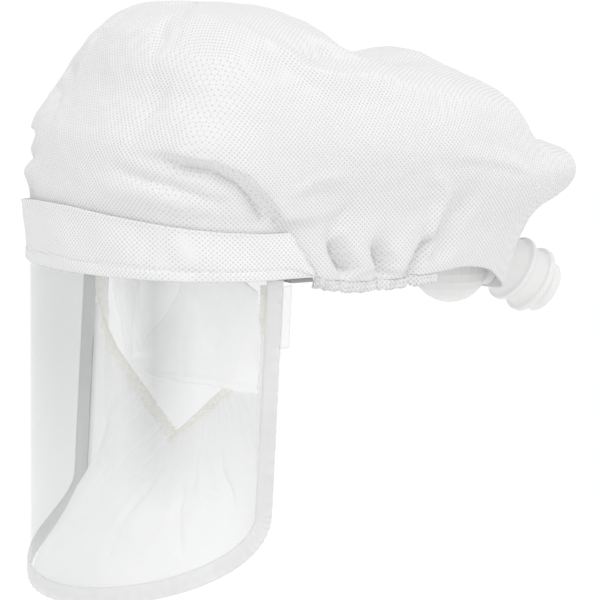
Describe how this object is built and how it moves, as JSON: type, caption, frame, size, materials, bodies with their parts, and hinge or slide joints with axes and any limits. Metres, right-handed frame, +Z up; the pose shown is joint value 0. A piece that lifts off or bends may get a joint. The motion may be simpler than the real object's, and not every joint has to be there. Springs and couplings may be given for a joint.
{
  "type": "respirator head cover",
  "caption": "White cloth respirator head cover with a clear wrap-round visor, a gathered face seal, a headband and a ridged hose port at the nape",
  "frame": {"origin": "centre of the headband, level with the lower edge of the brow band, where the wearer's head carries the cover", "axes": "+X is the wearer's left, +Y points to the back of the head, +Z is up"},
  "size_m": [0.242, 0.3562, 0.3605],
  "materials": {
    "cloth": "matte white nonwoven cloth, embossed with small dots",
    "smooth_cloth": "thin white nonwoven cloth, slightly see-through",
    "film": "soft frosted film",
    "clear_sheet": "clear thin plastic sheet with a faint haze",
    "elastic": "narrow off-white elastic",
    "white_plastic": "moulded white plastic, satin",
    "grey_plastic": "moulded grey plastic, satin"
  },
  "bodies": {
    "root": {"crown": "cloth", "brow_band": "cloth", "nape_ruffle_left": "cloth", "nape_ruffle_right": "cloth", "visor": "clear_sheet", "visor_binding": "smooth_cloth", "side_tab_left": "film", "side_tab_right": "film", "face_seal": "smooth_cloth", "face_elastic": "elastic", "inner_flap": "film", "headband": "white_plastic", "temple_arm_left": "grey_plastic", "temple_arm_right": "grey_plastic", "plenum": "white_plastic", "hose_port": "white_plastic", "port_lip": "white_plastic"}
  },
  "joints": []
}
